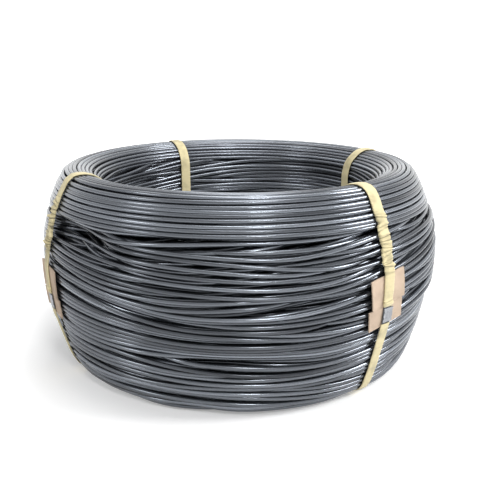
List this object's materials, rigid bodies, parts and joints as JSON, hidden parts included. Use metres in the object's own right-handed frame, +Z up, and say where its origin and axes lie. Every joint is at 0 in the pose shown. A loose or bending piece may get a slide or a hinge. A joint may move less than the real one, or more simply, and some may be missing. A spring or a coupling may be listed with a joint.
{
  "type": "coil of wire rod",
  "caption": "Barrel-shaped coil of dark steel wire rod standing on end, with an open bore, tied by cloth-sleeved steel straps with crimped seals over cardboard pads.",
  "frame": {"origin": "on the floor, on the coil's axis, at the middle of the box's bottom face", "axes": "+Z up along the coil's axis; the picture looks along +Y, with +X to its right"},
  "size_m": [1.2492, 1.2492, 0.6134],
  "materials": {
    "wire": "drawn and phosphated steel wire, dark blue-grey, half gloss",
    "band": "cold-rolled steel strapping, bright",
    "sleeve": "cream woven cloth sleeve, creased",
    "seal": "bent sheet steel, dull zinc",
    "pad": "plain brown board, matt"
  },
  "bodies": {
    "root": {"wire_coil": "wire", "strap_band_front_right": "band", "strap_sleeve_front_right": "sleeve", "strap_seal_front_right": "seal", "pad_upper_front_right": "pad", "pad_lower_front_right": "pad", "strap_band_back_right": "band", "strap_sleeve_back_right": "sleeve", "strap_seal_back_right": "seal", "pad_upper_back_right": "pad", "pad_lower_back_right": "pad", "strap_band_back_left": "band", "strap_sleeve_back_left": "sleeve", "strap_seal_back_left": "seal", "pad_upper_back_left": "pad", "pad_lower_back_left": "pad", "strap_band_front_left": "band", "strap_sleeve_front_left": "sleeve", "strap_seal_front_left": "seal", "pad_upper_front_left": "pad", "pad_lower_front_left": "pad"}
  },
  "joints": []
}
